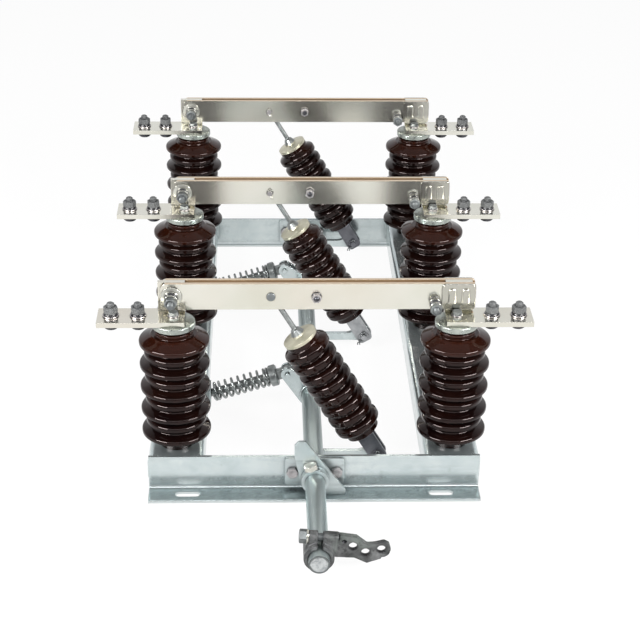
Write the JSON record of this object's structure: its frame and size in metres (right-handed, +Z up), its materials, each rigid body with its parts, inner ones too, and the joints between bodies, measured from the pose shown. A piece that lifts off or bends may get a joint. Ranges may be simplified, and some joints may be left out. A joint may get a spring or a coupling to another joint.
{
  "type": "substation disconnect switch",
  "caption": "Three-pole substation disconnect switch: blade pairs on porcelain posts, worked through insulated links by cranks on a sprung shaft in a galvanised steel frame.",
  "frame": {"origin": "centre of the four mounting slots on the bottom plane of the feet", "axes": "+X along the blades from hinge to contact, +Y along the shaft away from the operating crank, +Z up"},
  "size_m": [0.644, 1.1635, 0.3245],
  "materials": {
    "galvanised": "satin",
    "porcelain": "gloss",
    "cap_metal": "satin",
    "tinned_copper": "satin",
    "bolt_zinc": "satin",
    "cast_iron": "satin",
    "dark_steel": "satin",
    "spring_steel": "satin"
  },
  "bodies": {
    "frame": {"front_angle": "galvanised", "rear_angle": "galvanised", "left_rail": "galvanised", "right_rail": "galvanised", "hinge_insulators": "porcelain", "contact_insulators": "porcelain", "hinge_terminals": "tinned_copper", "contact_terminals": "tinned_copper", "insulator_caps": "cap_metal", "fixing_bolts": "bolt_zinc", "terminal_bolts": "bolt_zinc", "front_bearing": "galvanised", "rear_bearing": "galvanised", "bearing_bolts": "bolt_zinc", "spring_seats": "galvanised"},
    "shaft": {"shaft": "galvanised", "pole_cranks": "galvanised", "spring_levers": "galvanised", "stop_plate": "galvanised", "operating_crank": "cast_iron", "clamp_bolt": "bolt_zinc"},
    "blade_1": {"blade_strips_1": "tinned_copper", "lock_plates_1": "tinned_copper", "blade_bolts_1": "bolt_zinc"},
    "pull_link_1": {"pull_fork_1": "dark_steel", "pull_insulator_1": "porcelain", "pull_rod_1": "cap_metal"},
    "blade_2": {"blade_strips_2": "tinned_copper", "lock_plates_2": "tinned_copper", "blade_bolts_2": "bolt_zinc"},
    "pull_link_2": {"pull_fork_2": "dark_steel", "pull_insulator_2": "porcelain", "pull_rod_2": "cap_metal"},
    "blade_3": {"blade_strips_3": "tinned_copper", "lock_plates_3": "tinned_copper", "blade_bolts_3": "bolt_zinc"},
    "pull_link_3": {"pull_fork_3": "dark_steel", "pull_insulator_3": "porcelain", "pull_rod_3": "cap_metal"},
    "spring_guide_1": {"spring_rod_1": "galvanised", "coil_spring_1": "spring_steel"},
    "spring_guide_2": {"spring_rod_2": "galvanised", "coil_spring_2": "spring_steel"}
  },
  "joints": [
    {"name": "shaft_turn", "type": "hinge", "parent": "frame", "child": "shaft", "pos_m": [0, 0, 0.036], "axis": [0, -1, 0], "range_deg": [0, 90]},
    {"name": "blade_hinge_1", "type": "hinge", "parent": "frame", "child": "blade_1", "pos_m": [-0.213, -0.3775, 0.3035], "axis": [0, -1, 0], "range_deg": [0, 58.7]},
    {"name": "blade_hinge_2", "type": "hinge", "parent": "frame", "child": "blade_2", "pos_m": [-0.213, 0.0125, 0.3035], "axis": [0, -1, 0], "range_deg": [0, 58.7]},
    {"name": "blade_hinge_3", "type": "hinge", "parent": "frame", "child": "blade_3", "pos_m": [-0.213, 0.4025, 0.3035], "axis": [0, -1, 0], "range_deg": [0, 58.7]},
    {"name": "link_pin_1", "type": "hinge", "parent": "shaft", "child": "pull_link_1", "pos_m": [0.09969, -0.3775, 0.02815], "axis": [0, -1, 0], "range_deg": [-95.4, 0]},
    {"name": "link_pin_2", "type": "hinge", "parent": "shaft", "child": "pull_link_2", "pos_m": [0.09969, 0.0125, 0.02815], "axis": [0, -1, 0], "range_deg": [-95.4, 0]},
    {"name": "link_pin_3", "type": "hinge", "parent": "shaft", "child": "pull_link_3", "pos_m": [0.09969, 0.4025, 0.02815], "axis": [0, -1, 0], "range_deg": [-95.4, 0]},
    {"name": "guide_pin_1", "type": "hinge", "parent": "shaft", "child": "spring_guide_1", "pos_m": [-0.03812, -0.2025, 0.07282], "axis": [0, -1, 0], "range_deg": [-122.1, 0], "deforming": ["coil_spring_1"]},
    {"name": "guide_pin_2", "type": "hinge", "parent": "shaft", "child": "spring_guide_2", "pos_m": [-0.03812, 0.1875, 0.07282], "axis": [0, -1, 0], "range_deg": [-122.1, 0], "deforming": ["coil_spring_2"]}
  ],
  "couplings": [
    {"joint": "blade_hinge_1", "follows": "shaft_turn", "ratio": 0.651},
    {"joint": "blade_hinge_2", "follows": "shaft_turn", "ratio": 0.651},
    {"joint": "blade_hinge_3", "follows": "shaft_turn", "ratio": 0.651},
    {"joint": "link_pin_1", "follows": "shaft_turn", "ratio": -1.0593},
    {"joint": "link_pin_2", "follows": "shaft_turn", "ratio": -1.0593},
    {"joint": "link_pin_3", "follows": "shaft_turn", "ratio": -1.0593},
    {"joint": "guide_pin_1", "follows": "shaft_turn", "ratio": -1.3556},
    {"joint": "guide_pin_2", "follows": "shaft_turn", "ratio": -1.3556}
  ]
}
